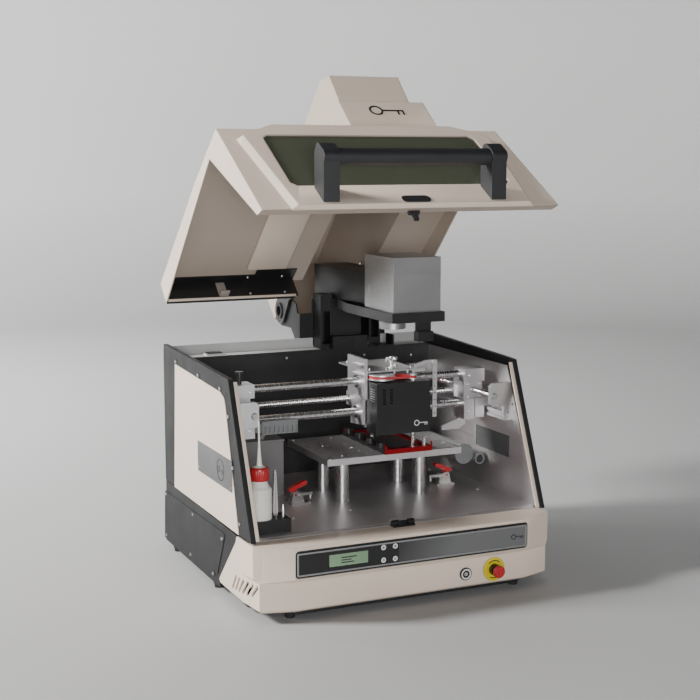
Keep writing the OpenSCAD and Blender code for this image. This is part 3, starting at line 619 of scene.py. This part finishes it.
def make_panel():
    """The panel's trim, the film between its openings, and the display."""
    left, right, low, high = -303, 307, 54, 102
    display_left, display_right, display_low, display_high = -229, -122, 61, 95
    menu_left, menu_right = -96, -45
    trim = 4
    Shape(facing_front).rim(rounded(left - trim, right + trim, low - trim, high + trim, 4),
                            rounded(left, right, low, high, 2), 0.4, 1.6) \
        .finish("panel_rim", "panel_plastic", "cabinet", "silver_trim", 0.3)
    film = Shape(facing_front)
    for field in ((left, display_left, low, high), (display_right, menu_left, low, high),
                  (display_left, display_right, display_high, high),
                  (display_left, display_right, low, display_low), (menu_right, right, low, high)):
        film.bar(*field, 0.9, 1.6)
    film.finish("panel_film", "panel_plastic", "cabinet", "panel_film")
    Shape(facing_front).prism(rounded(-225.5, -125.5, 63.5, 92.5, 1.5), 1.9, 3.1) \
        .finish("display_glass", "panel_plastic", "cabinet", "display", 0.2)
    rows = Shape(facing_front)
    start, top, thick, pitch = -195, 84.6, 2.6, 6
    for i, wide in enumerate((40, 26, 33)):
        rows.bar(start, start + wide, top - i * pitch - thick, top - i * pitch, 1.6, 1.95)
    rows.finish("display_bars", "panel_plastic", "cabinet", "black_print")


def make_button_marks():
    for number in range(1, 5):
        node = f"menu_button_{number}"
        middle = (corner_mm(node, 0) + corner_mm(node, 1)) / 2
        centre = (middle.x, middle.z)
        dot = 1.3 if number > 2 else 0.7
        Shape(facing_front).ring(centre, 2.9, 6.3, -0.2, 0.45).disc(centre, dot, -0.2, 0.45) \
            .finish(f"menu_mark_{number}", "black_plastic", node, "white_print", 0.15)
    Shape(facing_front).key_mark((283, 78), 34, 0.2, 0.95) \
        .finish("panel_key_mark", "panel_plastic", "cabinet", "black_print")
    power, stop = (142, -2), (222, 0)
    Shape(facing_front).ring(power, 9.6, 13.4, 4.2, 5.05) \
        .finish("power_ring", "black_plastic", "cabinet", "white_print", 0.3)
    Shape(facing_front).ring(power, 3.0, 4.4, 5.0, 5.6).disc(power, 1.2, 5.0, 5.6) \
        .finish("power_mark", "black_plastic", "power_button", "white_print")
    Shape(facing_front).ring(stop, 14.3, 30.4, 6.8, 8.05) \
        .finish("stop_disc", "black_plastic", "cabinet", "yellow_plastic", 0.4)
    marks = Shape(facing_front)
    for start, span in ((45, 90), (240, 60)):
        angles = [math.radians(start + span * i / 9) for i in range(10)]
        outer, inner = [[(stop[0] + r * math.cos(a), stop[1] + r * math.sin(a)) for a in angles]
                        for r in (23.4, 20.8)]
        marks.prism(outer + inner[::-1], 6.5, 6.9)
    marks.finish("stop_marks", "black_plastic", "cabinet", "black_print")


def make_side_badges():
    for side, name in ((-1, "left"), (1, "right")):
        back, face, mark_face = side * 400.95, side * 402.0, side * 402.4
        Shape(facing_side).prism(rounded(178, 442, 219, 297, 3), back, face) \
            .finish(f"badge_plate_{name}", "beige_panel", "cabinet", "plate_grey", 0.4)
        add_screws(f"badge_screws_{name}", "cabinet", facing_side,
                   [(u, v) for u in (188, 432) for v in (229, 287)], face - side * 1.2, 3.0, side)
        Shape(facing_side).ring((262, 258), 25, 27.5, face, mark_face) \
            .key_mark((262, 258), 42, face, mark_face, side) \
            .finish(f"badge_mark_{name}", "beige_panel", "cabinet", "black_print")


def bulge_face(u, v, t):
    """The front wall of the hood's lower bulge: v up along it, t out of it."""
    lean = math.atan2(16, 179)
    return on_hood(u, 166 + v * math.sin(lean) - t * math.cos(lean),
                   514 + v * math.cos(lean) + t * math.sin(lean))


def make_hood_trims():
    Shape(bulge_face).key_mark((140, 141), 100, -0.4, 0.7) \
        .finish("hood_key_mark", "beige_shell", "hood", "black_print", 0.2)
    add_screws("hood_roof_screws", "hood", on_hood, ((-138, 732), (-34, 732)), 572.2, 3.6, -1)
    add_screws("hood_plate_screws", "hood", hood_front,
               ((-138, 527), (-34, 527), (300, 545), (360, 545)), 748.4, 3.6, -1)
    # the bracket inside the hood takes the darker copy of the beige as painted shade
    Shape(hood_side).prism([(748, 517), (748, 569), (745.5, 569), (745.5, 519.5), (722, 519.5), (722, 517)],
                           -232, -206) \
        .finish("hood_bracket", "beige_shell", "hood", "beige_painted_shade", 0.4)
    gasket = Shape(hood_side)
    for ends in ((-384, -6), (286, 384)):
        gasket.prism([(748, 508), (756, 508), (756, 511.8), (748, 511.8)], *ends)
    gasket.finish("hood_gasket", "foot_rubber", "hood", bevel_mm=0.8)
    Shape(hood_side).prism([(741, 508.5), (748, 508.5), (748, 513), (741, 513)], -381, -6) \
        .finish("hood_edge_strip", "beige_shell", "hood", bevel_mm=0.8)
    Shape(hood_side).prism([(330, 537.6), (330, 529), (692, 563), (692, 571.4)], -152, -34) \
        .finish("hood_stiffener", "beige_shell", "hood", bevel_mm=3.0)
    Shape(facing_front).key_mark((132, 337), 38, 234.3, 235.2) \
        .finish("cover_key_mark", "black_sheet", "head", "white_print")


def make_chamber_screws():
    # a flat dark plate over the port: painted shade standing for the port's deep, unlit inside
    Shape(facing_side).prism(rounded(214, 406, 218, 288, 2), 391.4, 393.0) \
        .finish("port_painted_shade", "stainless", "cabinet", "plate_grey", 0.3)
    add_screws("floor_screws", "cabinet", facing_up,
               ((-222, 235), (240, 190), (340, 300), (-60, 250), (330, 560), (-300, 560)), 124.4, 4.0, 1)
    wall_y, rear_y = corner_mm("back_wall", 0).y, corner_mm("rear_casing", 1).y
    add_screws("wall_screws", "cabinet", facing_front,
               ((-330, 440), (-60, 455), (-60, 330), (180, 450), (-330, 200), (330, 440)),
               wall_y - 0.2, 3.6, -1)
    bolts = Shape(facing_up)
    plate_z = 470.2
    for x, y, r in ((14, 296, 5), (14, 330, 5), (60, 292, 4), (112, 345, 5), (132, 296, 4), (18, 440, 4),
                    (134, 440, 4)):
        bolts.disc((x, y), r, plate_z, plate_z + r).disc((x, y), r * 0.5, plate_z + r, plate_z + r + 2.8)
    bolts.finish("carriage_bolts", "screw_steel", "carriage", bevel_mm=0.5)
    add_screws("casing_back_screws", "cabinet", facing_front,
               [(x, z) for x in (-372, 372) for z in (140, 255, 370, 487)], rear_y + 0.2, 3.4, 1)


def make_frame_strips():
    """The light edge inside each side frame."""
    strips = Shape(facing_side)
    for x0, x1 in ((-385.8, -376), (376, 385.8)):
        strips.prism([(62, 128), (66, 128), (211, 482), (207, 482)], x0, x1)
    strips.finish("frame_strips", "beige_panel", "cabinet", bevel_mm=0.4)


def make_table_details():
    """Screws and hole rims on the table; the rims leave the fixture's place free."""
    top = corner_mm("table_plate", 1).z
    add_screws("plate_screws", "cabinet", facing_up,
               ((-45, 336), (180, 336), (-45, 466), (180, 466), (-88, 313), (278, 313), (278, 568),
                (-88, 568)), top + 0.3, 3.6, 1)
    rims = Shape(facing_up)
    rim = [(3.2, top - 0.2), (5.6, top - 0.2), (5.2, top + 0.5), (3.5, top + 0.5)]
    for x in range(-80, 271, 50):
        for y in range(325, 556, 46):
            if not (52 < x < 209 and 290 < y < 578):
                rims.lathe((x, y), rim, 20)
    rims.finish("plate_hole_rims", "screw_steel", "cabinet")


def make_cover_slats():
    slats = Shape(facing_side)
    pitch, thick, low = 6, 1.9, 396.3
    for i in range(6):
        slats.bar(249, 275, low + i * pitch, low + i * pitch + thick, 7.4, 8.6)
    slats.finish("cover_slats", "machined", "head", "silver_trim")


def make_loose_pieces():
    """The spare cutter, the connector on the ledge, the nozzle's lip and the bottle's ribbed collar."""
    Shape(facing_up).lathe((-283, 150), [(0, 136), (3.8, 136), (3.8, 176), (2.4, 181), (1.2, 186), (0, 187)],
                           24) \
        .finish("spare_cutter", "ground_steel", "cabinet")
    Shape(facing_up).prism(rounded(-286, -242, 703, 727, 3), 476.9, 479.5) \
        .screw((-281, 715), 479.6, 2.6, 1).screw((-247, 715), 479.6, 2.6, 1) \
        .finish("ledge_connector", "black_plastic", "cabinet", bevel_mm=0.5)
    Shape(facing_front).ring((366, 199), 11.05, 14.6, 334, 348) \
        .finish("nozzle_lip", "grey_sheet", "cabinet", "duct_grey", 0.8)
    bottle = (-341, 155)
    ribs = [(bottle[0] + r * math.cos(math.pi * i / 30), bottle[1] + r * math.sin(math.pi * i / 30))
            for i, r in enumerate((23.3, 22.3) * 30)]
    Shape(facing_up).lathe(bottle, [(17.2, 250.2), (22.0, 250.2), (22.6, 251.5), (22.6, 278), (21.4, 281),
                                    (17.2, 283.2)]) \
        .prism(ribs, 253, 276) \
        .finish("bottle_collar", "bottle_plastic", "bottle", "red_plastic", 0.4)


make_panel()
make_button_marks()
make_side_badges()
make_hood_trims()
make_chamber_screws()
make_frame_strips()
make_table_details()
make_cover_slats()
make_loose_pieces()

# ------------------------------------------------------------------ studio


def make_floor():
    """A round studio bowl: a flat floor that curves up into a wall all the way round."""
    flat, radius, height, curve, around = 5.2, 2.0, 3.6, 16, 96
    profile = [(flat + radius * math.sin(a), radius - radius * math.cos(a))
               for a in (math.pi / 2 * i / curve for i in range(curve + 1))]
    profile.append((flat + radius, height))
    bm = bmesh.new()
    rows = [[bm.verts.new((r * math.cos(2 * math.pi * k / around), r * math.sin(2 * math.pi * k / around), z))
             for k in range(around)] for r, z in profile]
    bm.faces.new(rows[0])
    for low, high in zip(rows, rows[1:]):
        for k in range(around):
            n = (k + 1) % around
            bm.faces.new((low[k], low[n], high[n], high[k]))
    mesh = bpy.data.meshes.new("floor")
    bm.to_mesh(mesh)
    bm.free()
    floor = new_piece("floor", mesh)
    g = Graph("floor")
    rise = g.ramp(g.axis("Z"), 0.0, 0.8)
    tone = g.mix(rise, (0.43, 0.43, 0.43), (0.60, 0.60, 0.60))
    g.colour(g.mix(g.ramp(g.noise(0.6, 2), 0.3, 0.7, 0.0, 0.05), tone, (0.50, 0.50, 0.50)))
    g.set(Roughness=0.62)
    mesh.materials.append(g.material)
    smooth_by_angle(mesh)


def area_light(name, place, target, size, power, colour=(1, 1, 1), glossy=True):
    data = bpy.data.lights.new(name, "AREA")
    data.shape = "RECTANGLE"
    data.size, data.size_y = size
    data.energy = power
    data.color = colour
    light = bpy.data.objects.new(name, data)
    light.location = place
    light.visible_glossy = glossy
    light.rotation_euler = (Vector(target) - Vector(place)).to_track_quat("-Z", "Y").to_euler()
    bpy.context.scene.collection.objects.link(light)


def make_lights():
    middle = (0.0, 0.0, 0.6)
    area_light("key", (-4.7, 1.2, 3.0), middle, (1.0, 1.0), 600, (1.0, 0.985, 0.965))
    area_light("front_fill", (-1.5, -5.0, 1.0), middle, (1.8, 1.0), 150)
    area_light("top", (0.2, 1.4, 4.2), middle, (2.6, 2.0), 45, glossy=False)
    area_light("backdrop", (-2.6, 2.9, 3.2), (0.6, 6.8, 0.5), (2.4, 2.4), 420, glossy=False)
    world = bpy.data.worlds.new("studio")
    world.use_nodes = True
    world.node_tree.nodes["Background"].inputs["Color"].default_value = (0.55, 0.56, 0.58, 1)
    world.node_tree.nodes["Background"].inputs["Strength"].default_value = 0.05
    bpy.context.scene.world = world


def make_camera():
    """Stands in front of the machine's left corner, a little above it."""
    data = bpy.data.cameras.new("camera")
    data.lens = 68.9
    data.sensor_width = 36.0
    camera = bpy.data.objects.new("camera", data)
    camera.location = (-1.42765, -3.35628, 1.07543)
    camera.rotation_euler = (math.radians(90 - 8.2), 0.0, math.radians(-24.3))
    data.clip_end = 60
    bpy.context.scene.collection.objects.link(camera)
    bpy.context.scene.camera = camera


make_floor()
make_lights()
make_camera()
